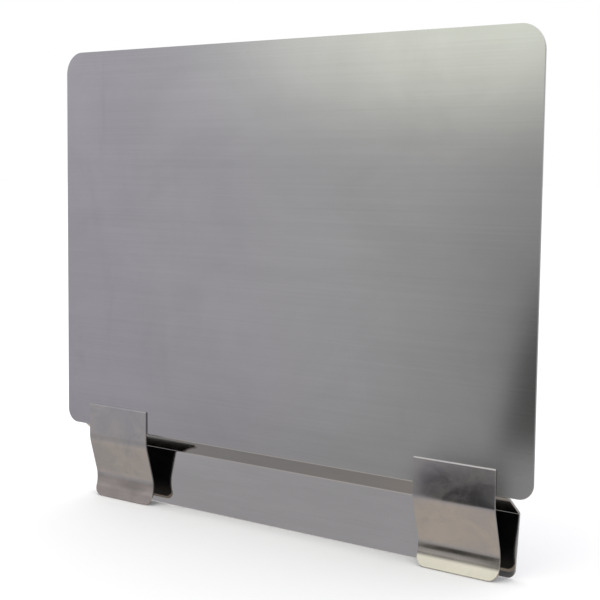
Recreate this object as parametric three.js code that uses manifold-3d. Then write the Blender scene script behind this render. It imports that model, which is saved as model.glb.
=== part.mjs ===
// Clip-on flat shield: a brushed stainless panel that hangs on the edge of a board or screen.
// A cranked back plate goes behind the board and two sprung clips press on its front.
// Millimetres. +X runs along the panel, +Y points to the back, +Z is up.
// The origin is the middle of the back plate's flat grip face.

import * as THREE from "three";
import { mergeVertices } from "three/addons/utils/BufferGeometryUtils.js";
import Module from "manifold-3d";

// ---- driving dimensions -------------------------------------------------------------------

const SEAM = 0.05; // closed joint between two sheets
const GLUE = 0.1; // adhesive film under a liner
const CUT = 30; // how far a cutting solid reaches to either side

const cornerSteps = 6; // facets of a rounded corner, a bend in the rail and a bend in a clip
const railSteps = 5;
const clipSteps = 8;

const panel = {
  width: 427,
  height: 300,
  sheet: 1.5,
  bottom: 37, // height of the bottom edge above the origin
  topRadius: 17,
  bottomRadius: 10.5,
};

const rail = {
  halfLength: 195,
  sheet: 1.5,
  setBack: 18, // grip face behind the panel's front face
  flangeTop: 57, // top of the flange that lies on the panel's back
  knee: 22.9, // height where the slope turns into the upright plate
  bottom: -21.6,
  endTaper: 2.5, // each end of the upright plate leans in by this much at the bottom
  flangeRadius: 5,
  cornerRadius: 6,
  bendRadius: 2.25, // at the middle of the sheet, as every bend radius here
};

const clip = {
  centreX: 155.8,
  width: 63,
  sheet: 1.2,
  top: 54.5,
  split: 31.5, // height of the flex line, just under the panel's bottom edge
  splitGap: 0.3,
  shoulder: 26.2, // height where the lines of the flat stretch and the slope meet
  shoulderRadius: 30,
  throatDepth: 9.6, // how far behind the flat stretch the slope and the lip meet
  throat: -7.8,
  throatRadius: 26,
  lipBottom: -22,
  lipAngle: THREE.MathUtils.degToRad(19),
  cornerRadius: 7.5,
  edgeBevel: 0.5,
};

const liner = {
  thickness: 1,
  sideInset: 0.5,
  top: 30,
  bottom: -19,
  cornerRadius: 6.5,
};

const fastener = {
  spacing: 40, // between the two studs of one clip
  height: 46,
  studRadius: 2.4,
  studLength: 10,
  holeRadius: 2.75,
  washerRadius: 6,
  washerThickness: 1,
  nutFlats: 8,
  hexHeight: 4,
  hexChamfer: 0.4,
  domeRadius: 3.7,
  domeHeight: 3.6,
  domeSunk: 0.5, // how far the dome's solid reaches into the hexagon
  boreRadius: 2.5,
  boreDepth: 6,
};

// ---- faces worked out from them -----------------------------------------------------------

const panelFront = -rail.setBack;
const panelBack = panelFront + panel.sheet;
const flangeFront = panelBack + SEAM; // the rail's flange
const flangeBack = flangeFront + rail.sheet;
const clipBack = panelFront - SEAM; // the flat stretch of a clip
const clipMiddle = clipBack - clip.sheet / 2;
const washerFront = flangeBack + SEAM;
const nutFront = washerFront + fastener.washerThickness + SEAM;

const clipSides = [
  { side: "left", sign: -1 },
  { side: "right", sign: 1 },
];
const studOffsets = [-fastener.spacing / 2, fastener.spacing / 2];

// ---- materials ----------------------------------------------------------------------------

function metal(color, roughness) {
  return new THREE.MeshStandardMaterial({ color, roughness, metalness: 1 });
}

const brushedSteel = metal(0x9a999c, 0.4);
const polishedSteel = metal(0xb4b3b4, 0.08);
const satinSteel = metal(0xa39d97, 0.28);
const zincSteel = metal(0xb9bcc0, 0.3);
const nutSteel = metal(0xc4c5c8, 0.12);
const blackRubber = new THREE.MeshStandardMaterial({ color: 0x0b0b0c, roughness: 0.6 });

// ---- solids -------------------------------------------------------------------------------

const wasm = await Module();
wasm.setup();

function toSolid(geometry) {
  const bare = geometry.clone();
  bare.deleteAttribute("normal");
  bare.deleteAttribute("uv");
  const merged = mergeVertices(bare, 1e-4);
  const triVerts = new Uint32Array(merged.index.array);
  const vertProperties = merged.attributes.position.array;
  return new wasm.Manifold(new wasm.Mesh({ numProp: 3, vertProperties, triVerts }));
}

function toGeometry(solid) {
  const { vertProperties, triVerts, numProp } = solid.getMesh();
  const geometry = new THREE.BufferGeometry();
  geometry.setAttribute("position", new THREE.BufferAttribute(vertProperties, numProp));
  geometry.setIndex(new THREE.BufferAttribute(triVerts, 1));
  geometry.computeVertexNormals();
  return geometry;
}

function extrude(shape, depth, curveSegments) {
  return new THREE.ExtrudeGeometry(shape, { depth, bevelEnabled: false, curveSegments });
}

// A section drawn in (Y, Z), extruded along X and centred on X = 0.
function alongX(section, length) {
  const turn = new THREE.Matrix4().makeBasis(
    new THREE.Vector3(0, 1, 0),
    new THREE.Vector3(0, 0, 1),
    new THREE.Vector3(1, 0, 0),
  );
  const geometry = extrude(new THREE.Shape(section), length, 1);
  return geometry.applyMatrix4(turn).translate(-length / 2, 0, 0);
}

// An outline drawn in (X, Z), extruded along Y from front to back.
function alongY(outline, front, back) {
  const turn = new THREE.Matrix4().makeBasis(
    new THREE.Vector3(1, 0, 0),
    new THREE.Vector3(0, 0, 1),
    new THREE.Vector3(0, -1, 0),
  );
  return extrude(outline, back - front, cornerSteps).applyMatrix4(turn).translate(0, back, 0);
}

// A closed outline in (X, Z) from [x, z, radius] corners; a radius of 0 leaves a corner sharp.
function roundedOutline(corners) {
  const points = corners.map(([x, z]) => new THREE.Vector2(x, z));
  const start = points[0].clone().lerp(points.at(-1), 0.5);
  const radii = corners.map(([, , radius]) => radius);
  const line = bentLine([start, ...points, start.clone()], radii, cornerSteps);
  return new THREE.Shape(line.slice(0, -1).map(({ point }) => point));
}

function plateOutline(halfWidth, bottom, top, bottomRadius, topRadius) {
  return roundedOutline([
    [halfWidth, bottom, bottomRadius],
    [halfWidth, top, topRadius],
    [-halfWidth, top, topRadius],
    [-halfWidth, bottom, bottomRadius],
  ]);
}

// The line of a bent sheet as points with normals: straight stretches between the corners
// and an arc at each inner corner (none where its radius is 0). The normal is on the left
// of the direction of travel.
function bentLine(corners, radii, arcSteps) {
  const line = [];
  const add = (point, direction) => {
    line.push({ point, normal: new THREE.Vector2(-direction.y, direction.x) });
  };
  const last = corners.length - 1;
  const direction = (i) => corners[i + 1].clone().sub(corners[i]).normalize();
  add(corners[0], direction(0));
  for (let i = 1; i < last; i++) {
    const before = direction(i - 1);
    const after = direction(i);
    const turn = Math.atan2(before.cross(after), before.dot(after));
    const radius = radii[i - 1];
    if (radius === 0) {
      add(corners[i], after);
      continue;
    }
    const reach = radius * Math.tan(Math.abs(turn) / 2);
    const start = corners[i].clone().addScaledVector(before, -reach);
    const side = new THREE.Vector2(-before.y, before.x).multiplyScalar(Math.sign(turn) * radius);
    const centre = start.clone().add(side);
    for (let step = 0; step <= arcSteps; step++) {
      const angle = (turn * step) / arcSteps;
      const point = start.clone().rotateAround(centre, angle);
      add(point, before.clone().rotateAround(new THREE.Vector2(), angle));
    }
  }
  add(corners[last], direction(last - 1));
  return line;
}

// The section of a strip that follows a bent line between two offsets from it.
function stripSection(line, right, left) {
  const offset = (by) => line.map(({ point, normal }) => point.clone().addScaledVector(normal, by));
  return [...offset(right), ...offset(left).reverse()];
}

function yz(y, z) {
  return new THREE.Vector2(y, z);
}

// Holes for the studs of both clips, as one solid per hole.
function studHoles() {
  const { holeRadius, height } = fastener;
  return clipSides.flatMap(({ sign }) =>
    studOffsets.map((offset) => {
      const hole = new THREE.CylinderGeometry(holeRadius, holeRadius, CUT, 24);
      hole.translate(sign * clip.centreX + offset, panelFront, height);
      return toSolid(hole);
    }),
  );
}

// ---- panel and back plate -----------------------------------------------------------------

function shieldPanel() {
  const top = panel.bottom + panel.height;
  const outline = plateOutline(
    panel.width / 2,
    panel.bottom,
    top,
    panel.bottomRadius,
    panel.topRadius,
  );
  const sheet = toSolid(alongY(outline, panelFront, panelBack));
  return toGeometry(studHoles().reduce((body, hole) => body.subtract(hole), sheet));
}

// A flange on the panel's back, a slope out to the set-back, and the upright grip plate.
function backRail() {
  const half = rail.sheet / 2;
  const corners = [
    yz(flangeFront + half, rail.flangeTop),
    yz(flangeFront + half, panel.bottom),
    yz(half, rail.knee),
    yz(half, rail.bottom),
  ];
  const line = bentLine(corners, [rail.bendRadius, rail.bendRadius], railSteps);
  const bent = toSolid(alongX(stripSection(line, -half, half), 2 * rail.halfLength));
  const end = rail.halfLength;
  const outline = roundedOutline([
    [end, rail.flangeTop, rail.flangeRadius],
    [-end, rail.flangeTop, rail.flangeRadius],
    [-end, rail.knee, 0],
    [-end + rail.endTaper, rail.bottom, rail.cornerRadius],
    [end - rail.endTaper, rail.bottom, rail.cornerRadius],
    [end, rail.knee, 0],
  ]);
  const trimmed = bent.intersect(toSolid(alongY(outline, -CUT, CUT)));
  return toGeometry(studHoles().reduce((body, hole) => body.subtract(hole), trimmed));
}

// ---- spring clips -------------------------------------------------------------------------

// The clip's line below the flex line: flat, sloping back to the throat, then the lip.
function jawLine(top) {
  const throatY = clipMiddle + clip.throatDepth;
  const lipReach = (clip.throat - clip.lipBottom) * Math.tan(clip.lipAngle);
  const corners = [
    yz(clipMiddle, top),
    yz(clipMiddle, clip.shoulder),
    yz(throatY, clip.throat),
    yz(throatY - lipReach, clip.lipBottom),
  ];
  return bentLine(corners, [clip.shoulderRadius, clip.throatRadius], clipSteps);
}

function clipFlange() {
  const front = clipBack - clip.sheet;
  const bottom = clip.split + clip.splitGap / 2;
  const section = [
    yz(front, bottom),
    yz(clipBack, bottom),
    yz(clipBack, clip.top),
    yz(front + clip.edgeBevel, clip.top),
    yz(front, clip.top - clip.edgeBevel),
  ];
  return alongX(section, clip.width);
}

function clipJaw() {
  const half = clip.sheet / 2;
  const top = clip.split - clip.splitGap / 2;
  const bent = toSolid(alongX(stripSection(jawLine(top), -half, half), clip.width));
  const outline = plateOutline(clip.width / 2, clip.lipBottom, clip.top, clip.cornerRadius, 0);
  return toGeometry(bent.intersect(toSolid(alongY(outline, -CUT, CUT))));
}

function clipLiner() {
  const near = clip.sheet / 2 + GLUE;
  const section = stripSection(jawLine(clip.split), near, near + liner.thickness);
  const strip = toSolid(alongX(section, clip.width));
  const halfWidth = clip.width / 2 - liner.sideInset;
  const outline = plateOutline(halfWidth, liner.bottom, liner.top, liner.cornerRadius, 0);
  return toGeometry(strip.intersect(toSolid(alongY(outline, -CUT, CUT))));
}

// ---- fasteners ----------------------------------------------------------------------------

function weldStud() {
  const { studRadius, studLength } = fastener;
  const stud = new THREE.CylinderGeometry(studRadius, studRadius, studLength, 20);
  return stud.translate(0, clipBack + SEAM + studLength / 2, 0);
}

function washer() {
  const { washerRadius, washerThickness, holeRadius } = fastener;
  const back = washerFront + washerThickness;
  const ring = [
    new THREE.Vector2(holeRadius, washerFront),
    new THREE.Vector2(washerRadius, washerFront),
    new THREE.Vector2(washerRadius, back),
    new THREE.Vector2(holeRadius, back),
    new THREE.Vector2(holeRadius, washerFront),
  ];
  return new THREE.LatheGeometry(ring, 28);
}

// A hexagon with turned-off corners, closed by a dome, on a blind thread bore.
function domeNut() {
  const { nutFlats, hexHeight, hexChamfer, domeRadius, domeHeight, domeSunk } = fastener;
  const { boreRadius, boreDepth } = fastener;
  const corner = nutFlats / Math.sqrt(3);
  const hexBack = nutFront + hexHeight;
  const hex = new THREE.CylinderGeometry(corner, corner, hexHeight, 6);
  hex.translate(0, nutFront + hexHeight / 2, 0);
  const turned = new THREE.LatheGeometry(
    [
      new THREE.Vector2(0, nutFront),
      new THREE.Vector2(nutFlats / 2, nutFront),
      new THREE.Vector2(corner, nutFront + hexChamfer),
      new THREE.Vector2(corner, hexBack - hexChamfer),
      new THREE.Vector2(nutFlats / 2, hexBack),
      new THREE.Vector2(0, hexBack),
    ],
    24,
  );
  const domeFoot = hexBack - domeSunk;
  const domePoints = [new THREE.Vector2(0, domeFoot), new THREE.Vector2(domeRadius, domeFoot)];
  const domeSteps = 6;
  for (let step = 0; step <= domeSteps; step++) {
    const angle = ((Math.PI / 2) * step) / domeSteps;
    const radius = step === domeSteps ? 0 : domeRadius * Math.cos(angle);
    domePoints.push(new THREE.Vector2(radius, hexBack + domeHeight * Math.sin(angle)));
  }
  const dome = new THREE.LatheGeometry(domePoints, 20);
  const bore = new THREE.CylinderGeometry(boreRadius, boreRadius, 2 * boreDepth, 20);
  bore.translate(0, nutFront, 0);
  const chamfered = toSolid(hex).intersect(toSolid(turned));
  return toGeometry(chamfered.add(toSolid(dome)).subtract(toSolid(bore)));
}

// ---- assembly -----------------------------------------------------------------------------

function mesh(name, geometry, material) {
  const part = new THREE.Mesh(geometry, material);
  part.name = name;
  return part;
}

const shield = new THREE.Group();
shield.add(mesh("shield_panel", shieldPanel(), brushedSteel));
shield.add(mesh("back_rail", backRail(), polishedSteel));

for (const { side, sign } of clipSides) {
  const clipGroup = new THREE.Group();
  clipGroup.position.x = sign * clip.centreX;
  clipGroup.add(mesh(`${side}_clip_flange`, clipFlange(), satinSteel));
  clipGroup.add(mesh(`${side}_clip_jaw`, clipJaw(), satinSteel));
  clipGroup.add(mesh(`${side}_clip_liner`, clipLiner(), blackRubber));
  for (const offset of studOffsets) {
    const place = offset * sign < 0 ? "inner" : "outer";
    const stack = new THREE.Group();
    stack.position.set(offset, 0, fastener.height);
    stack.add(mesh(`${side}_${place}_weld_stud`, weldStud(), zincSteel));
    stack.add(mesh(`${side}_${place}_washer`, washer(), zincSteel));
    stack.add(mesh(`${side}_${place}_dome_nut`, domeNut(), nutSteel));
    clipGroup.add(stack);
  }
  shield.add(clipGroup);
}

export default shield;
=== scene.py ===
import math

import bmesh
import bpy
from mathutils import Matrix, Vector
from mathutils.geometry import tessellate_polygon


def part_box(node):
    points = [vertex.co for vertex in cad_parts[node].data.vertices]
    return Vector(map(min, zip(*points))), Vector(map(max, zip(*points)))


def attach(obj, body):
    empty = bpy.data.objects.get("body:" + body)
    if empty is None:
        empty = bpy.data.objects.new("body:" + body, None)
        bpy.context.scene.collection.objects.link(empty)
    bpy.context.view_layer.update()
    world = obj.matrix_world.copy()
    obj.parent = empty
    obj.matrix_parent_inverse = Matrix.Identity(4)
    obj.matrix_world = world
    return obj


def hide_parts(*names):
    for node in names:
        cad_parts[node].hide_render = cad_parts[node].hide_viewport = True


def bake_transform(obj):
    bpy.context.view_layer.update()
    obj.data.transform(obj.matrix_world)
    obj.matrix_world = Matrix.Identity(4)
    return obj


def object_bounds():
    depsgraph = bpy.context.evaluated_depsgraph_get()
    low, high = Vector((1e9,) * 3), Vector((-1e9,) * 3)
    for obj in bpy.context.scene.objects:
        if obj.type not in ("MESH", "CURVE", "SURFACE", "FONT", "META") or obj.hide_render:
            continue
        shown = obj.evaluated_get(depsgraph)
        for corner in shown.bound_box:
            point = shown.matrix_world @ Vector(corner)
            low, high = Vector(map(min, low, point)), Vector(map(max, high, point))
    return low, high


# The looks of the clip-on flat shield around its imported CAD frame.
# Metres, +X along the panel, +Y to the back, +Z up, origin on the back plate's grip face.

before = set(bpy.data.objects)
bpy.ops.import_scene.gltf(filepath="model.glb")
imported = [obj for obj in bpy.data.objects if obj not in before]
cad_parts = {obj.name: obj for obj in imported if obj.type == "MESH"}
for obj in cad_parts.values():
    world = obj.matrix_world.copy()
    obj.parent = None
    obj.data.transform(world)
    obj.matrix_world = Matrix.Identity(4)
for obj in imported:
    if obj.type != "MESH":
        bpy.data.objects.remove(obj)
cad_low, cad_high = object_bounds()
MM = 0.001
SIDES = ("left", "right")
PLACES = ("inner", "outer")
UV_NAME = "sheet"  # runs along X and along the bent sheet, in metres


# ---- helpers --------------------------------------------------------------------------------

# The Mix node's factor and two colours, and its colour out.
MIX_COLOUR_INPUTS = (0, 6, 7)
MIX_COLOUR_OUTPUT = 2


def node(tree, kind, inputs=None, **settings):
    made = tree.nodes.new(kind)
    for name, value in settings.items():
        setattr(made, name, value)
    for key, value in (inputs or {}).items():
        if isinstance(value, bpy.types.NodeSocket):
            tree.links.new(value, made.inputs[key])
        else:
            made.inputs[key].default_value = value
    return made


def calc(tree, operation, *values):
    inputs = dict(enumerate(values))
    return node(tree, "ShaderNodeMath", inputs, operation=operation).outputs[0]


def times(tree, *values):
    product = values[0]
    for value in values[1:]:
        product = calc(tree, "MULTIPLY", product, value)
    return product


def hypotenuse(tree, first, second):
    squares = calc(tree, "ADD", times(tree, first, first), times(tree, second, second))
    return calc(tree, "SQRT", squares)


def ramp(tree, value, low, high, to_low=0.0, to_high=1.0):
    """value from low to high becomes to_low to to_high along a smooth step."""
    inputs = {"Value": value, "From Min": low, "From Max": high}
    inputs.update({"To Min": to_low, "To Max": to_high})
    return node(tree, "ShaderNodeMapRange", inputs, interpolation_type="SMOOTHSTEP").outputs[0]


def blend_colour(tree, factor, first, second, blend_type="MIX"):
    made = node(tree, "ShaderNodeMix", data_type="RGBA", blend_type=blend_type)
    for index, value in zip(MIX_COLOUR_INPUTS, (factor, first, second)):
        socket = made.inputs[index]
        if isinstance(value, bpy.types.NodeSocket):
            tree.links.new(value, socket)
        elif isinstance(value, float):
            socket.default_value = value
        else:
            socket.default_value = (*value, 1.0)
    return made.outputs[MIX_COLOUR_OUTPUT]


def stretched(tree, vector, scale, turn=0.0):
    """vector turned in its plane and scaled per axis, so that a noise on it is drawn out."""
    inputs = {"Vector": vector, "Scale": scale, "Rotation": (0.0, 0.0, turn)}
    return node(tree, "ShaderNodeMapping", inputs).outputs[0]


def noise(tree, vector, scale=1.0, detail=3.0, rough=0.55, distortion=0.0):
    inputs = {"Vector": vector, "Scale": scale, "Detail": detail}
    inputs.update({"Roughness": rough, "Distortion": distortion})
    return node(tree, "ShaderNodeTexNoise", inputs).outputs[0]


def tinted(tree, colour, amount):
    """colour times amount, a socket around 1."""
    grey = node(tree, "ShaderNodeCombineColor", {0: amount, 1: amount, 2: amount}).outputs[0]
    return blend_colour(tree, 1.0, colour, grey, "MULTIPLY")


def material_with(name):
    material = bpy.data.materials.new(name)
    material.use_nodes = True
    tree = material.node_tree
    return material, tree, tree.nodes["Principled BSDF"]


def add_object(name, data):
    made = bpy.data.objects.new(name, data)
    bpy.context.scene.collection.objects.link(made)
    return made


# ---- light ----------------------------------------------------------------------------------

# The light from all round, by direction, which the metals mirror. Each layer covers the ones
# before it: its colour, the azimuth of its middle in degrees from the front towards the left,
# the half widths where it begins to fade and has faded, and the four elevations between which
# it fades in and out.
STUDIO_BASE = (0.75, 0.735, 0.775)
STUDIO_LAYERS = [
    # the whole floor area, warm
    ((0.825, 0.745, 0.665), 0, 181, 182, (-91, -90.5, -34, -17)),
    # its far left, duller
    ((0.63, 0.61, 0.60), 80, 18, 30, (-91, -90.5, -34, -17)),
    # just under the horizon
    ((0.60, 0.59, 0.605), 0, 181, 182, (-30, -18, -13.5, -9)),
    # the walls' lighter upper part
    ((0.93, 0.92, 0.95), 0, 181, 182, (-3, 4, 8, 16)),
    # a paler stretch of the walls
    ((0.81, 0.80, 0.83), 41, 3, 12, (-10, -4, 0, 4)),
    # the room's darker right part
    ((0.465, 0.456, 0.475), 14, 11, 21, (-12, -9, -6, 8)),
    # a dark band under the window
    ((0.36, 0.353, 0.36), 14, 17, 23, (2, 6, 9, 13)),
    # the ceiling
    ((1.3, 1.3, 1.32), 0, 181, 182, (36, 58, 91, 92)),
    # the window's upper part
    ((1.9, 1.93, 1.80), 12, 20, 30, (7, 18, 50, 66)),
    # soft boxes to the right and behind
    ((1.7, 1.7, 1.72), -62, 16, 34, (2, 14, 40, 58)),
    ((1.5, 1.5, 1.53), 160, 30, 60, (-4, 16, 40, 58)),
]

# Cards that show only in reflections. Each has its azimuth as above, its distance from the
# middle of the object, how far it leans to the right per height, its light, and the sideways
# places (positive to the right) and the heights between which it fades in and out, in metres.
CARD_AZIMUTH = 28.0
CARDS = {
    "window_card": (
        CARD_AZIMUTH, 0.9, 0.0, (1.8, 1.85, 1.69),
        (-0.37, 0.08, 0.15, 0.50), (0.255, 0.455, 0.9, 1.2),
    ),
    "dark_card": (
        CARD_AZIMUTH, 0.6, 0.2, (0.13, 0.13, 0.13),
        (0.165, 0.192, 0.5, 0.6), (-0.085, -0.06, 0.03, 0.18),
    ),
    "low_dark_card": (
        CARD_AZIMUTH, 0.6, 0.0, (0.05, 0.05, 0.047),
        (0.066, 0.086, 0.17, 0.18), (-0.27, -0.22, -0.108, -0.083),
    ),
}

FLOOR_RADIUS, FLOOR_SIDES = 30.0, 96
FLOOR_GAP = 0.2 * MM  # between the floor and the object's lowest point

LAMP_PLACE, LAMP_TARGET = Vector((-0.5, -0.35, 1.9)), Vector((0, 0, 0.1))
LAMP_SIZE, LAMP_WATTS = 1.3, 6.0

# The camera that shows the panel's edges as the photo does.
CAMERA_PLACE = (0.59172, -0.75787, 0.24227)
CAMERA_AZIMUTH, CAMERA_DOWN, CAMERA_ROLL = 37.39, 5.466, 0.654  # degrees
CAMERA_LENS, CAMERA_SENSOR = 78.97, 36.0


def build_world():
    """Lights and reflections come from the layers, and the camera sees plain white."""
    world = bpy.data.worlds.new("studio")
    bpy.context.scene.world = world
    world.use_nodes = True
    tree = world.node_tree
    tree.nodes.clear()
    direction = node(tree, "ShaderNodeTexCoord").outputs["Generated"]
    x, y, z = node(tree, "ShaderNodeSeparateXYZ", {0: direction}).outputs
    to_left = calc(tree, "MULTIPLY", x, -1.0)
    to_front = calc(tree, "MULTIPLY", y, -1.0)
    azimuth = calc(tree, "DEGREES", calc(tree, "ARCTAN2", to_left, to_front))
    elevation = calc(tree, "DEGREES", calc(tree, "ARCSINE", z))
    colour = node(tree, "ShaderNodeRGB").outputs[0]
    colour.default_value = (*STUDIO_BASE, 1.0)
    for shade, middle, inner, outer, (low, low_full, high_full, high) in STUDIO_LAYERS:
        away = calc(tree, "WRAP", calc(tree, "SUBTRACT", azimuth, float(middle)), 180.0, -180.0)
        side = ramp(tree, calc(tree, "ABSOLUTE", away), inner, outer, 1.0, 0.0)
        rise = ramp(tree, elevation, low, low_full)
        fall = ramp(tree, elevation, high_full, high, 1.0, 0.0)
        mask = times(tree, side, rise, fall)
        colour = blend_colour(tree, mask, colour, shade)
    mirrored = node(tree, "ShaderNodeBackground", {"Color": colour})
    backdrop = node(tree, "ShaderNodeBackground", {"Color": (1.0, 1.0, 1.0, 1.0)})
    seen = node(tree, "ShaderNodeLightPath").outputs["Is Camera Ray"]
    shaders = {0: seen, 1: mirrored.outputs[0], 2: backdrop.outputs[0]}
    shown = node(tree, "ShaderNodeMixShader", shaders)
    node(tree, "ShaderNodeOutputWorld", {"Surface": shown.outputs[0]})


def build_card(name, azimuth, distance, lean, light, across, heights):
    """A soft-edged upright card that faces the object."""
    turn = math.radians(azimuth)
    low, high = heights[0], heights[3]
    left, right = across[0] + lean * low, across[3] + lean * high
    mesh = bpy.data.meshes.new(name)
    corners = [(left, 0, low), (right, 0, low), (right, 0, high), (left, 0, high)]
    mesh.from_pydata(corners, [], [(0, 1, 2, 3)])
    card = add_object(name, mesh)
    card.location = (-distance * math.sin(turn), -distance * math.cos(turn), 0)
    card.rotation_euler = (0, 0, -turn)
    card.visible_camera = card.visible_diffuse = False
    card.visible_shadow = card.visible_transmission = False
    material = bpy.data.materials.new(name)
    material.use_nodes = True
    tree = material.node_tree
    tree.nodes.clear()
    place = node(tree, "ShaderNodeTexCoord").outputs["Object"]
    x, _, z = node(tree, "ShaderNodeSeparateXYZ", {0: place}).outputs
    upright_x = calc(tree, "SUBTRACT", x, times(tree, z, lean))
    mask = 1.0
    for value, (start, start_full, end_full, end) in ((upright_x, across), (z, heights)):
        rise = ramp(tree, value, start, start_full)
        fall = ramp(tree, value, end_full, end, 1.0, 0.0)
        mask = times(tree, mask, rise, fall)
    clear = node(tree, "ShaderNodeBsdfTransparent")
    glow = node(tree, "ShaderNodeEmission", {"Color": (*light, 1.0)})
    shaders = {0: mask, 1: clear.outputs[0], 2: glow.outputs[0]}
    shown = node(tree, "ShaderNodeMixShader", shaders)
    node(tree, "ShaderNodeOutputMaterial", {"Surface": shown.outputs[0]})
    mesh.materials.append(material)


def build_floor(height):
    mesh = bpy.data.meshes.new("floor")
    bm = bmesh.new()
    bmesh.ops.create_circle(bm, cap_ends=True, radius=FLOOR_RADIUS, segments=FLOOR_SIDES)
    bmesh.ops.translate(bm, verts=bm.verts, vec=(0, 0, height))
    bm.to_mesh(mesh)
    bm.free()
    floor = add_object("floor", mesh)
    material, tree, shader = material_with("floor_paper")
    place = node(tree, "ShaderNodeTexCoord").outputs["Object"]
    shade = ramp(tree, noise(tree, place, 900.0), 0.2, 0.8, 0.985, 1.0)
    tree.links.new(tinted(tree, (0.86, 0.86, 0.86), shade), shader.inputs["Base Color"])
    shader.inputs["Roughness"].default_value = 0.9
    shader.inputs["Specular IOR Level"].default_value = 0.0
    mesh.materials.append(material)
    floor.visible_glossy = False


def build_lamp():
    data = bpy.data.lights.new("overhead", "AREA")
    data.shape = "DISK"
    data.size = LAMP_SIZE
    data.energy = LAMP_WATTS
    lamp = add_object("overhead", data)
    lamp.location = LAMP_PLACE
    lamp.rotation_mode = "QUATERNION"
    lamp.rotation_quaternion = (LAMP_TARGET - LAMP_PLACE).to_track_quat("-Z", "Y")
    lamp.visible_glossy = False


def build_camera():
    data = bpy.data.cameras.new("camera")
    data.sensor_width = CAMERA_SENSOR
    data.lens = CAMERA_LENS
    camera = add_object("camera", data)
    turn = Matrix.Rotation(math.radians(CAMERA_AZIMUTH), 4, "Z")
    turn = turn @ Matrix.Rotation(math.pi / 2 - math.radians(CAMERA_DOWN), 4, "X")
    turn = turn @ Matrix.Rotation(math.radians(CAMERA_ROLL), 4, "Z")
    camera.matrix_world = Matrix.Translation(CAMERA_PLACE) @ turn
    bpy.context.scene.camera = camera


# ---- materials ------------------------------------------------------------------------------


def along_sheet(tree):
    return node(tree, "ShaderNodeUVMap", uv_map=UV_NAME).outputs[0]


def grain_across(tree, shader, amount):
    """A brushed grain along X: the reflection is drawn out across it."""
    tangent = node(tree, "ShaderNodeTangent", direction_type="UV_MAP", uv_map=UV_NAME)
    tree.links.new(tangent.outputs[0], shader.inputs["Tangent"])
    shader.inputs["Anisotropic"].default_value = amount
    shader.inputs["Anisotropic Rotation"].default_value = 0.25


def bump(tree, shader, height, strength, distance):
    inputs = {"Height": height, "Strength": strength, "Distance": distance}
    tree.links.new(node(tree, "ShaderNodeBump", inputs).outputs[0], shader.inputs["Normal"])


PANEL_LEFT = -200 * MM  # near the panel's left end
CLIP_ZONE = 100 * MM  # each clip is farther out than this


def brushed_panel():
    material, tree, shader = material_with("panel_brushed_steel")
    place = along_sheet(tree)
    fine = noise(tree, stretched(tree, place, (9.0, 2600.0, 1.0)), detail=4.0, rough=0.6)
    lines = noise(tree, stretched(tree, place, (5.0, 620.0, 1.0)), detail=3.0, rough=0.6)
    bands = noise(tree, stretched(tree, place, (1.8, 95.0, 1.0)), detail=3.0, rough=0.5)
    cloud_place = stretched(tree, place, (9.0, 14.0, 1.0))
    clouds = noise(tree, cloud_place, detail=5.0, rough=0.62, distortion=0.6)
    wipe_place = stretched(tree, place, (22.0, 7.0, 1.0), 0.5)
    wipes = noise(tree, wipe_place, detail=4.0, rough=0.6, distortion=1.2)
    x = node(tree, "ShaderNodeSeparateXYZ", {0: place}).outputs[0]
    # the left end has been handled more
    handled = ramp(tree, x, -20 * MM, PANEL_LEFT, 0.25, 1.0)
    smudge = times(tree, ramp(tree, wipes, 0.5, 0.72), handled)
    shade = times(
        tree,
        calc(tree, "MULTIPLY_ADD", fine, 0.10, 0.95),
        ramp(tree, lines, 0.25, 0.75, 0.98, 1.02),
        ramp(tree, bands, 0.25, 0.75, 0.987, 1.013),
        ramp(tree, clouds, 0.3, 0.7, 0.96, 1.03),
        calc(tree, "MULTIPLY_ADD", smudge, -0.05, 1.0),
    )
    cool = ramp(tree, x, 160 * MM, PANEL_LEFT)
    colour = blend_colour(tree, cool, (0.372, 0.373, 0.362), (0.366, 0.356, 0.378))
    tree.links.new(tinted(tree, colour, shade), shader.inputs["Base Color"])
    rough = calc(tree, "MULTIPLY_ADD", lines, 0.05, 0.10)
    rough = calc(tree, "MULTIPLY_ADD", smudge, 0.06, rough)
    tree.links.new(rough, shader.inputs["Roughness"])
    shader.inputs["Metallic"].default_value = 1.0
    grain_across(tree, shader, 0.45)
    bump(tree, shader, fine, 0.25, 0.02 * MM)
    return material


def polished_plate():
    material, tree, shader = material_with("plate_polished_steel")
    place = along_sheet(tree)
    smear_place = stretched(tree, place, (14.0, 70.0, 1.0), 0.12)
    smears = noise(tree, smear_place, detail=4.0, rough=0.6, distortion=0.8)
    lines = noise(tree, stretched(tree, place, (7.0, 900.0, 1.0)), detail=3.0)
    smeared = ramp(tree, smears, 0.3, 0.75, 0.97, 1.02)
    shade = times(tree, smeared, ramp(tree, lines, 0.3, 0.7, 0.985, 1.015))
    tree.links.new(tinted(tree, (0.455, 0.45, 0.45), shade), shader.inputs["Base Color"])
    rough = ramp(tree, smears, 0.35, 0.75, 0.03, 0.08)
    rough = calc(tree, "MULTIPLY_ADD", lines, 0.02, rough)
    tree.links.new(rough, shader.inputs["Roughness"])
    shader.inputs["Metallic"].default_value = 1.0
    waves = noise(tree, stretched(tree, place, (11.0, 16.0, 1.0)), detail=1.0)
    bump(tree, shader, waves, 0.35, 0.4 * MM)
    return material


# A painted dark reflection on the left clip's lip: its middle and its half size, along X and in
# height.
REFLECTION_PATCH_X, REFLECTION_PATCH_HEIGHT = -150 * MM, -11.5 * MM
REFLECTION_PATCH_HALF_WIDTH, REFLECTION_PATCH_HALF_HEIGHT = 17 * MM, 5.5 * MM


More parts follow.
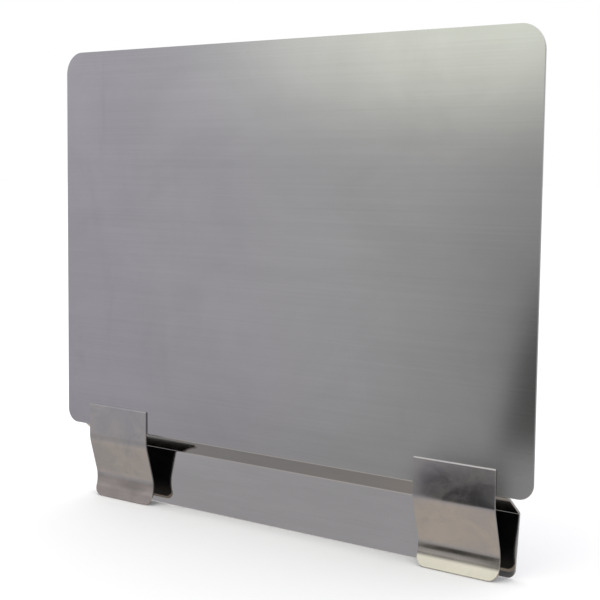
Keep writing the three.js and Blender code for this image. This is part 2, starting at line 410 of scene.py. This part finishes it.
def satin_clip():
    material, tree, shader = material_with("clip_satin_steel")
    place = along_sheet(tree)
    x, height, _ = node(tree, "ShaderNodeSeparateXYZ", {0: place}).outputs
    stain_place = stretched(tree, place, (38.0, 46.0, 1.0))
    stains = noise(tree, stain_place, detail=5.0, rough=0.62, distortion=1.0)
    spots = noise(tree, stretched(tree, place, (95.0, 120.0, 1.0)), detail=3.0, rough=0.5)
    grain = noise(tree, stretched(tree, place, (60.0, 2200.0, 1.0)), detail=3.0, rough=0.6)
    # the left clip's lip is darkened as painted shade, and carries a painted dark reflection
    lip = ramp(tree, height, -4 * MM, -11 * MM)
    left_lip_painted_shade = times(tree, lip, ramp(tree, x, CLIP_ZONE, -CLIP_ZONE))
    patch_x = calc(tree, "MULTIPLY_ADD", x, 1 / REFLECTION_PATCH_HALF_WIDTH, -REFLECTION_PATCH_X / REFLECTION_PATCH_HALF_WIDTH)
    patch_height = -REFLECTION_PATCH_HEIGHT / REFLECTION_PATCH_HALF_HEIGHT
    patch_z = calc(tree, "MULTIPLY_ADD", height, 1 / REFLECTION_PATCH_HALF_HEIGHT, patch_height)
    ragged = calc(tree, "MULTIPLY_ADD", stains, 1.6, -0.8)
    from_painted_reflection = calc(tree, "ADD", hypotenuse(tree, patch_x, patch_z), ragged)
    shade = times(
        tree,
        ramp(tree, stains, 0.3, 0.7, 0.94, 1.05),
        ramp(tree, spots, 0.55, 0.75, 1.0, 0.94),
        calc(tree, "MULTIPLY_ADD", grain, 0.08, 0.96),
        # painted shade: the left clip's lip darkened by up to a quarter
        calc(tree, "MULTIPLY_ADD", left_lip_painted_shade, -0.24, 1.0),
        # painted reflection: a ragged dark patch around the middle of the left clip's lip
        ramp(tree, from_painted_reflection, 0.2, 1.3, 0.78, 1.0),
    )
    warm = ramp(tree, stains, 0.35, 0.65)
    colour = blend_colour(tree, warm, (0.372, 0.364, 0.372), (0.385, 0.368, 0.358))
    # heat has tinted the bent lips, the left one browner and the right one yellower
    to_right = ramp(tree, x, -CLIP_ZONE, CLIP_ZONE)
    heat = blend_colour(tree, to_right, (0.41, 0.37, 0.345), (0.398, 0.374, 0.33))
    colour = blend_colour(tree, ramp(tree, height, -3 * MM, -9 * MM), colour, heat)
    tree.links.new(tinted(tree, colour, shade), shader.inputs["Base Color"])
    rough = ramp(tree, stains, 0.3, 0.7, 0.09, 0.14)
    rough = calc(tree, "MULTIPLY_ADD", grain, 0.04, rough)
    tree.links.new(rough, shader.inputs["Roughness"])
    shader.inputs["Metallic"].default_value = 1.0
    grain_across(tree, shader, 0.25)
    bump(tree, shader, grain, 0.2, 0.02 * MM)
    return material


def black_rubber():
    material, tree, shader = material_with("liner_black_rubber")
    place = along_sheet(tree)
    skin = noise(tree, place, 2400.0, 3.0, 0.6)
    dust = noise(tree, place, 160.0, 4.0, 0.6, 0.5)
    dusty = ramp(tree, dust, 0.45, 0.75)
    colour = blend_colour(tree, dusty, (0.006, 0.006, 0.0065), (0.013, 0.0125, 0.012))
    tree.links.new(colour, shader.inputs["Base Color"])
    tree.links.new(ramp(tree, dust, 0.3, 0.7, 0.52, 0.68), shader.inputs["Roughness"])
    shader.inputs["Specular IOR Level"].default_value = 0.35
    bump(tree, shader, skin, 0.4, 0.04 * MM)
    return material


def turned_steel(name, colour, rough_low, rough_high, rings):
    """Steel turned about the object's Y axis. rings is the scale of the lathe's marks."""
    material, tree, shader = material_with(name)
    place = node(tree, "ShaderNodeTexCoord").outputs["Object"]
    x, y, z = node(tree, "ShaderNodeSeparateXYZ", {0: place}).outputs
    radius = hypotenuse(tree, x, z)
    flat = node(tree, "ShaderNodeCombineXYZ", {0: radius, 1: y, 2: 0.0}).outputs[0]
    lathe = noise(tree, flat, rings, 3.0, 0.6)
    marks = noise(tree, place, 700.0, 4.0, 0.6)
    turned = ramp(tree, lathe, 0.3, 0.7, 0.95, 1.03)
    shade = times(tree, turned, ramp(tree, marks, 0.55, 0.8, 1.0, 0.9))
    tree.links.new(tinted(tree, colour, shade), shader.inputs["Base Color"])
    rough = ramp(tree, marks, 0.3, 0.75, rough_low, rough_high)
    tree.links.new(rough, shader.inputs["Roughness"])
    shader.inputs["Metallic"].default_value = 1.0
    bump(tree, shader, lathe, 0.25, 0.03 * MM)
    return material


# ---- bent sheets ----------------------------------------------------------------------------

TINY = 1e-9  # metres, allows for rounding at the end of a stretch
CUT_TOLERANCE = 1e-8  # metres


def rounded(corners, inset, steps=12):
    """A counter-clockwise convex outline from (x, height, radius) corners, moved in by inset."""
    points = [Vector(corner[:2]) for corner in corners]
    outline = []
    for i, (_, _, radius) in enumerate(corners):
        before = (points[i] - points[i - 1]).normalized()
        after = (points[(i + 1) % len(points)] - points[i]).normalized()
        turn = math.atan2(before.cross(after), before.dot(after))
        inward = Vector((-before.y, before.x))
        centre = points[i] - before * radius * math.tan(turn / 2) + inward * radius
        for step in range(steps + 1):
            side = inward.copy()
            side.rotate(Matrix.Rotation(turn * step / steps, 2))
            outline.append(centre - side * (radius - inset))
    return outline


def circle(x, height, radius, inset, steps=32):
    """A hole's edge, clockwise, widened by inset."""
    middle, reach = Vector((x, height)), radius + inset
    turns = [-2 * math.pi * step / steps for step in range(steps)]
    return [middle + reach * Vector((math.cos(turn), math.sin(turn))) for turn in turns]


def plate_blank(corners, holes, thickness, edge_round, edge_steps=3):
    """A flat plate as a bmesh in (x, height, depth): depth is positive on the front."""
    bm = bmesh.new()
    levels = []
    for step in range(edge_steps + 1):
        angle = math.pi / 2 * step / edge_steps
        inset, sunk = edge_round * (1 - math.sin(angle)), edge_round * (1 - math.cos(angle))
        levels.append((inset, -thickness / 2 + sunk))
    levels += [(inset, -depth) for inset, depth in reversed(levels)]
    loops = [lambda inset: rounded(corners, inset)]
    loops += [lambda inset, hole=hole: circle(*hole, inset) for hole in holes]
    faces_at = {0: [], len(levels) - 1: []}
    for loop in loops:
        rings = []
        for level, (inset, depth) in enumerate(levels):
            ring = [bm.verts.new((*point, depth)) for point in loop(inset)]
            rings.append(ring)
            if level in faces_at:
                faces_at[level].append(ring)
        for low, high in zip(rings, rings[1:]):
            for i in range(len(low)):
                j = (i + 1) % len(low)
                bm.faces.new((low[i], low[j], high[j], high[i]))
    for level, sides in faces_at.items():
        front = level > 0
        if len(sides) == 1:
            bm.faces.new(sides[0] if front else sides[0][::-1])
            continue
        flat = [vertex for ring in sides for vertex in ring]
        for triangle in tessellate_polygon([[vertex.co for vertex in ring] for ring in sides]):
            vertices = [flat[i] for i in triangle]
            a, b, c = (vertex.co for vertex in vertices)
            faces_up = (b - a).cross(c - a).z > 0
            bm.faces.new(vertices if faces_up == front else vertices[::-1])
    return bm


def bend_line(corners, radii):
    """The middle line of a bent sheet, from the top down, as stretches of (start, direction,
    length, curvature) in (y, z)."""
    corners = [Vector(corner) for corner in corners]
    stretches, start = [], corners[0]
    for i, radius in enumerate(radii, 1):
        before = (corners[i] - corners[i - 1]).normalized()
        after = (corners[i + 1] - corners[i]).normalized()
        turn = math.atan2(before.cross(after), before.dot(after))
        reach = radius * math.tan(abs(turn) / 2)
        bend = corners[i] - before * reach
        stretches.append((start, before, (bend - start).length, 0.0))
        stretches.append((bend, before, radius * abs(turn), math.copysign(1 / radius, turn)))
        start = corners[i] + after * reach
    stretches.append((start, after, (corners[-1] - start).length, 0.0))
    return stretches


def on_line(stretches, distance):
    """The point and the direction at a distance from the line's top."""
    last = len(stretches) - 1
    for i, (start, direction, length, curvature) in enumerate(stretches):
        if distance <= length + TINY or i == last:
            break
        distance -= length
    if curvature == 0:
        return start + direction * distance, direction
    angle = curvature * distance
    side = Vector((-direction.y, direction.x))
    along, aside = math.sin(angle) / curvature, (1 - math.cos(angle)) / curvature
    turned = direction.copy()
    turned.rotate(Matrix.Rotation(angle, 2))
    return start + direction * along + side * aside, turned


def line_length(stretches):
    return sum(length for _, _, length, _ in stretches)


def distance_down_to(stretches, height, step=0.05 * MM):
    """The distance along the line at which it has come down to a height."""
    distance = 0.0
    while on_line(stretches, distance)[0].y > height:
        distance += step
    return distance


def bend_rows(stretches, step_degrees=1.5, guard=0.06 * MM):
    """Distances at which a sheet needs rows of points to follow its bends."""
    rows, at = [], 0.0
    for _, _, length, curvature in stretches:
        if curvature:
            count = math.ceil(math.degrees(abs(curvature) * length) / step_degrees)
            rows += [at - guard, at + length + guard]
            rows += [at + length * step / count for step in range(count + 1)]
        at += length
    return rows


def cut_rows(bm, heights):
    """Cuts a flat plate across at each height."""
    up = (0, 1, 0)
    for height in heights:
        parts, place = bm.verts[:] + bm.edges[:] + bm.faces[:], (0, height, 0)
        bmesh.ops.bisect_plane(bm, geom=parts, dist=CUT_TOLERANCE, plane_co=place, plane_no=up)


def write_uvs(bm):
    """Along X and along the sheet, with the depth added so that the edges have room too."""
    layer = bm.loops.layers.uv.new(UV_NAME)
    for face in bm.faces:
        for loop in face.loops:
            x, height, depth = loop.vert.co
            loop[layer].uv = (x + depth, height + depth)


def bend(bm, stretches, top):
    """Bends a flat plate whose top edge is at height top along the line."""
    for vertex in bm.verts:
        x, height, depth = vertex.co
        point, down = on_line(stretches, top - height)
        front = Vector((down.y, -down.x))
        y, z = point + front * depth
        vertex.co = (x, y, z)


def to_object(name, bm, material, smooth_degrees=10):
    bmesh.ops.recalc_face_normals(bm, faces=bm.faces)
    mesh = bpy.data.meshes.new(name)
    bm.to_mesh(mesh)
    bm.free()
    mesh.polygons.foreach_set("use_smooth", [True] * len(mesh.polygons))
    mesh.set_sharp_from_angle(angle=math.radians(smooth_degrees))
    mesh.materials.append(material)
    made = add_object(name, mesh)
    return made


# Of each sheet: the corner radii at its bottom and at its top, and the rounding of its edges.
PANEL_CORNERS, PANEL_EDGE = (10.5 * MM, 17 * MM), 0.22 * MM
PLATE_CORNERS, PLATE_EDGE = (6 * MM, 5 * MM), 0.18 * MM
CLIP_CORNERS, CLIP_EDGE = (7.5 * MM, 0.9 * MM), 0.2 * MM
LINER_CORNERS, LINER_EDGE = (6.5 * MM, 1.2 * MM), 0.3 * MM
STUD_HOLE = 2.75 * MM  # its radius

PLATE_SHEET = 1.5 * MM
PLATE_TAPER = 2.5 * MM  # how far its ends lean in below the knee
KNEE, PLATE_RADIUS = 22.9 * MM, 2.25 * MM

# The middle line of a clip: the heights and the radii of its bends at the shoulder and at the
# throat, how far the throat is behind the flange, and the lip's lean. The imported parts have
# the same line.
CLIP_SHEET = 1.2 * MM
SHOULDER, SHOULDER_RADIUS = 26.2 * MM, 30 * MM
THROAT, THROAT_DEPTH, THROAT_RADIUS = -7.8 * MM, 9.6 * MM, 26 * MM
LIP_ANGLE = math.radians(19)
LIP_CUT = 0.2 * MM  # keeps the strip's square end above the jaw's lowest point
TOP_CHAMFER = 0.8 * MM

LINER_SHEET, LINER_GLUE = 1.0 * MM, 0.1 * MM
FLEX_START, FLEX_END = 37 * MM, 26 * MM  # heights on the flat strip between which it gets rows for its flex line
FLEX_ROWS = 22


def stud_holes():
    """(x, height, radius) of the hole for each weld stud."""
    holes = []
    for side in SIDES:
        for place in PLACES:
            low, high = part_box(f"{side}_{place}_weld_stud")
            holes.append(((low.x + high.x) / 2, (low.z + high.z) / 2, STUD_HOLE))
    return holes


def rectangle(left, right, bottom, top, radii):
    """Counter-clockwise corners, with radii at the bottom and at the top."""
    return [
        (left, bottom, radii[0]),
        (right, bottom, radii[0]),
        (right, top, radii[1]),
        (left, top, radii[1]),
    ]


def build_panel(material):
    low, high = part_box("shield_panel")
    corners = rectangle(low.x, high.x, low.z, high.z, PANEL_CORNERS)
    bm = plate_blank(corners, stud_holes(), high.y - low.y, PANEL_EDGE)
    write_uvs(bm)
    middle = (low.y + high.y) / 2
    for vertex in bm.verts:
        x, height, depth = vertex.co
        vertex.co = (x, middle - depth, height)
    panel = to_object("panel_sheet", bm, material)
    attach(panel, "root")
    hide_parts("shield_panel")


def build_plate(material):
    low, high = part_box("back_rail")
    panel_low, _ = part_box("shield_panel")
    front, back = low.y + PLATE_SHEET / 2, high.y - PLATE_SHEET / 2
    points = [(front, high.z), (front, panel_low.z), (back, KNEE), (back, low.z)]
    line = bend_line(points, [PLATE_RADIUS, PLATE_RADIUS])
    bottom = high.z - line_length(line)
    taper_top = bottom + (KNEE - low.z)
    bottom_radius, top_radius = PLATE_CORNERS
    corners = [
        (low.x + PLATE_TAPER, bottom, bottom_radius),
        (high.x - PLATE_TAPER, bottom, bottom_radius),
        (high.x, taper_top, bottom_radius),
        (high.x, high.z, top_radius),
        (low.x, high.z, top_radius),
        (low.x, taper_top, bottom_radius),
    ]
    bm = plate_blank(corners, stud_holes(), PLATE_SHEET, PLATE_EDGE)
    cut_rows(bm, [high.z - row for row in bend_rows(line, step_degrees=3.0)])
    write_uvs(bm)
    bend(bm, line, high.z)
    plate = to_object("back_plate_sheet", bm, material)
    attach(plate, "root")
    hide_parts("back_rail")


def clip_line(side):
    low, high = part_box(f"{side}_clip_flange")
    jaw_low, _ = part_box(f"{side}_clip_jaw")
    middle = (low.y + high.y) / 2
    throat_y = middle + THROAT_DEPTH
    lip_y = throat_y - (THROAT - jaw_low.z) * math.tan(LIP_ANGLE)
    corners = [(middle, high.z), (middle, SHOULDER), (throat_y, THROAT), (lip_y, jaw_low.z)]
    return bend_line(corners, [SHOULDER_RADIUS, THROAT_RADIUS])


def follow_jaw(piece):
    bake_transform(piece)


def clip_rows(line, top):
    """Distances of the rows at a clip's bends and at its flex line."""
    reach = FLEX_START - FLEX_END
    flex = [top - FLEX_START + reach * row / FLEX_ROWS for row in range(FLEX_ROWS + 1)]
    return bend_rows(line) + flex


def build_clip(side, material):
    low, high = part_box(f"{side}_clip_flange")
    line = clip_line(side)
    bottom = high.z - line_length(line) + LIP_CUT
    corners = rectangle(low.x, high.x, bottom, high.z, CLIP_CORNERS)
    bm = plate_blank(corners, [], CLIP_SHEET, CLIP_EDGE)
    rows = clip_rows(line, high.z) + [TOP_CHAMFER]
    cut_rows(bm, [high.z - row for row in rows])
    write_uvs(bm)
    for vertex in bm.verts:
        cut = max(0.0, TOP_CHAMFER - (high.z - vertex.co.y))
        vertex.co.z = min(vertex.co.z, CLIP_SHEET / 2 - cut)
    bend(bm, line, high.z)
    clip = to_object(f"{side}_clip_strip", bm, material)
    follow_jaw(clip)
    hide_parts(f"{side}_clip_flange", f"{side}_clip_jaw")


def build_liner(side, material):
    """The pad on the strip's back, placed and bent along the strip's line."""
    _, flange_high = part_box(f"{side}_clip_flange")
    low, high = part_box(f"{side}_clip_liner")
    line, top = clip_line(side), flange_high.z
    bottom = top - distance_down_to(line, low.z)
    corners = rectangle(low.x, high.x, bottom, high.z, LINER_CORNERS)
    bm = plate_blank(corners, [], LINER_SHEET, LINER_EDGE)
    cut_rows(bm, [top - row for row in clip_rows(line, top)])
    write_uvs(bm)
    for vertex in bm.verts:
        vertex.co.z -= CLIP_SHEET / 2 + LINER_GLUE + LINER_SHEET / 2
    bend(bm, line, top)
    pad = to_object(f"{side}_liner_pad", bm, material)
    follow_jaw(pad)
    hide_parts(f"{side}_clip_liner")


# ---- fasteners ------------------------------------------------------------------------------

# Bores and the dome are given by their radii.
AROUND = 72  # points around each turned piece
WASHER_BORE, WASHER_EDGE = 2.75 * MM, 0.15 * MM
NUT_FLATS, HEX_HEIGHT = 8 * MM, 4 * MM
BORE, BORE_DEPTH, BORE_CHAMFER = 2.5 * MM, 6 * MM, 0.3 * MM
BORE_TIP = 0.35 * MM  # half the height of the bore's pointed end
DOME, DOME_NECK, DOME_FILLET, DOME_STEPS = 3.7 * MM, 0.35 * MM, 0.12 * MM, 16
# The chamfer on the hexagon's corners starts at this share of half the flats.
CHAMFER_START, CHAMFER_STEPS = 0.97, 6
CHAMFER_SLOPE = math.tan(math.radians(30))


def turned_piece(name, rings, material, centre, nodes):
    """A closed piece about the Y axis. rings are (radius by angle or one radius, y) from its
    inside to its outside; a radius of 0 is a single point."""
    bm = bmesh.new()
    made = []
    for radius, y in rings:
        if radius == 0:
            made.append([bm.verts.new((0, y, 0))])
            continue
        ring = []
        for step in range(AROUND):
            angle = 2 * math.pi * step / AROUND
            r = radius(angle) if callable(radius) else radius
            ring.append(bm.verts.new((r * math.cos(angle), y, r * math.sin(angle))))
        made.append(ring)
    closed = len(made[0]) > 1
    pairs = list(zip(made, made[1:])) + ([(made[-1], made[0])] if closed else [])
    for first, second in pairs:
        for i in range(AROUND):
            j = (i + 1) % AROUND
            corners = [(first, i), (first, j), (second, j), (second, i)]
            vertices = [ring[at % len(ring)] for ring, at in corners]
            bm.faces.new(list(dict.fromkeys(vertices)))
    piece = to_object(name, bm, material, smooth_degrees=25)
    piece.location = centre
    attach(piece, "root")
    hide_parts(*nodes)


def build_washer(side, place, material):
    low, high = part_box(f"{side}_{place}_washer")
    inner, outer = WASHER_BORE, (high.x - low.x) / 2
    half, soft = (high.y - low.y) / 2, WASHER_EDGE
    between = 0.3 * soft  # where the rounded edge's middle point is
    rings = [
        (inner + soft, -half),
        (outer - soft, -half),
        (outer - between, -half + between),
        (outer, -half + soft),
        (outer, half - soft),
        (outer - between, half - between),
        (outer - soft, half),
        (inner + soft, half),
        (inner, half - soft),
        (inner, -half + soft),
    ]
    name = f"{side}_{place}_washer"
    turned_piece(f"{name}_ring", rings, material, (low + high) / 2, [name])


def hexagon(limit):
    """The nut's radius by angle, cut off at limit."""
    def radius(angle):
        off = (angle + math.pi / 6) % (math.pi / 3) - math.pi / 6
        return min(NUT_FLATS / 2 / math.cos(off), limit)
    return radius


def build_nut(side, place, material):
    low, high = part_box(f"{side}_{place}_dome_nut")
    start, corner = NUT_FLATS / 2 * CHAMFER_START, NUT_FLATS / math.sqrt(3)
    rise = (corner - start) * CHAMFER_SLOPE
    edge = []
    for step in range(CHAMFER_STEPS + 1):
        limit = start + (corner - start) * step / CHAMFER_STEPS
        edge.append((hexagon(limit), rise * step / CHAMFER_STEPS))
    rings = [
        (0, BORE_DEPTH + BORE_TIP * 2),
        (BORE * 0.5, BORE_DEPTH + BORE_TIP),
        (BORE, BORE_DEPTH),
        (BORE, BORE_CHAMFER),
        (BORE + BORE_CHAMFER, 0),
    ]
    rings += edge
    rings += [(radius, HEX_HEIGHT - up) for radius, up in reversed(edge)]
    rings += [
        (DOME + DOME_FILLET, HEX_HEIGHT),
        (DOME, HEX_HEIGHT + DOME_FILLET),
        (DOME, HEX_HEIGHT + DOME_NECK),
    ]
    top = high.y - low.y
    dome_low, dome_height = HEX_HEIGHT + DOME_NECK, top - HEX_HEIGHT - DOME_NECK
    for step in range(1, DOME_STEPS):
        angle = math.pi / 2 * step / DOME_STEPS
        rings.append((DOME * math.cos(angle), dome_low + dome_height * math.sin(angle)))
    rings.append((0, top))
    middle = (low + high) / 2
    centre = (middle.x, low.y, middle.z)
    name = f"{side}_{place}_dome_nut"
    turned_piece(f"{side}_{place}_cap_nut", rings, material, centre, [name])


# ---- the scene ------------------------------------------------------------------------------

build_world()
build_floor(cad_low.z - FLOOR_GAP)
build_lamp()
for name, settings in CARDS.items():
    build_card(name, *settings)
build_camera()
bpy.context.scene.view_settings.view_transform = "Standard"

panel_steel = brushed_panel()
plate_steel = polished_plate()
clip_steel = satin_clip()
rubber = black_rubber()
washer_steel = turned_steel("washer_turned_steel", (0.5, 0.51, 0.53), 0.22, 0.34, 4200.0)
nut_steel = turned_steel("nut_polished_steel", (0.6, 0.6, 0.61), 0.07, 0.17, 1500.0)

build_panel(panel_steel)
build_plate(plate_steel)
for side in SIDES:
    build_clip(side, clip_steel)
    build_liner(side, rubber)
    for place in PLACES:
        build_washer(side, place, washer_steel)
        build_nut(side, place, nut_steel)
        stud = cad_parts[f"{side}_{place}_weld_stud"]
        stud.data.materials.clear()
        stud.data.materials.append(washer_steel)
